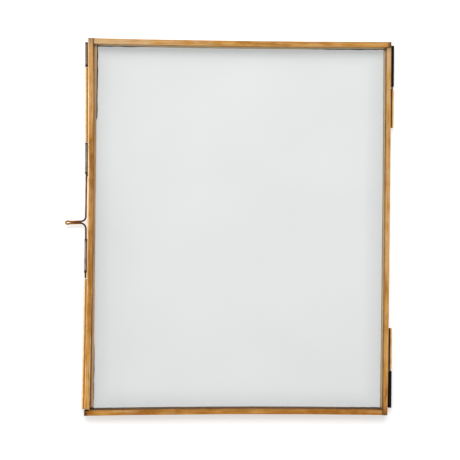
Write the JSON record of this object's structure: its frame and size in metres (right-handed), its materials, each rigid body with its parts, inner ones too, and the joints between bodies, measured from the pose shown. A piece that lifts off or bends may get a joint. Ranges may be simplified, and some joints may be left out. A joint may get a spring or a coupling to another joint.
{
  "type": "metal photo frame",
  "caption": "Two-pane glass photo frame in folded brass channel, opening like a book on side hinges, with a sliding wire bolt and pull handle.",
  "frame": {"origin": "under the middle of the closed frame's box, in the plane of its back face, with the handle and the hinge tubes counted in the box", "axes": "+X across the frame towards its hinges, +Y up the frame, +Z out of its front pane"},
  "size_m": [0.2264, 0.257, 0.009],
  "materials": {
    "front_brass": "satin, aged, with warm brown streaks",
    "rear_brass": "satin, darker and browner than the front",
    "blackened_brass": "heat-blackened, satin",
    "wire_brass": "satin, browned",
    "putty": "matte, dark brown",
    "glass": "clear, faintly green"
  },
  "bodies": {
    "rear_panel": {"rear_glass": "glass", "rear_channel_left": "rear_brass", "rear_channel_bottom": "rear_brass", "rear_channel_right": "rear_brass", "rear_channel_top": "rear_brass", "rear_putty_left": "putty", "rear_putty_bottom": "putty", "rear_putty_right": "putty", "rear_putty_top": "putty", "upper_hinge_rear_knuckle": "blackened_brass", "upper_hinge_pin": "wire_brass", "lower_hinge_rear_knuckle": "blackened_brass", "lower_hinge_pin": "wire_brass", "clasp_top_guide": "blackened_brass", "clasp_upper_guide": "blackened_brass", "clasp_lower_guide": "blackened_brass"},
    "front_panel": {"front_glass": "glass", "front_channel_left": "front_brass", "front_channel_bottom": "front_brass", "front_channel_right": "front_brass", "front_channel_top": "front_brass", "front_putty_left": "putty", "front_putty_bottom": "putty", "front_putty_right": "putty", "front_putty_top": "putty", "upper_hinge_front_knuckle": "front_brass", "lower_hinge_front_knuckle": "front_brass", "clasp_upper_socket": "front_brass", "clasp_lower_socket": "front_brass"},
    "clasp": {"clasp_wire": "wire_brass"}
  },
  "joints": [
    {"name": "front_panel_hinge", "type": "hinge", "parent": "rear_panel", "child": "front_panel", "pos_m": [0.11199, 0, 0.0045], "axis": [0, 1, 0], "range_deg": [0, 180]},
    {"name": "clasp_slide", "type": "slide", "parent": "rear_panel", "child": "clasp", "axis": [0, 1, 0], "range_m": [-0.006, 0.026]}
  ]
}
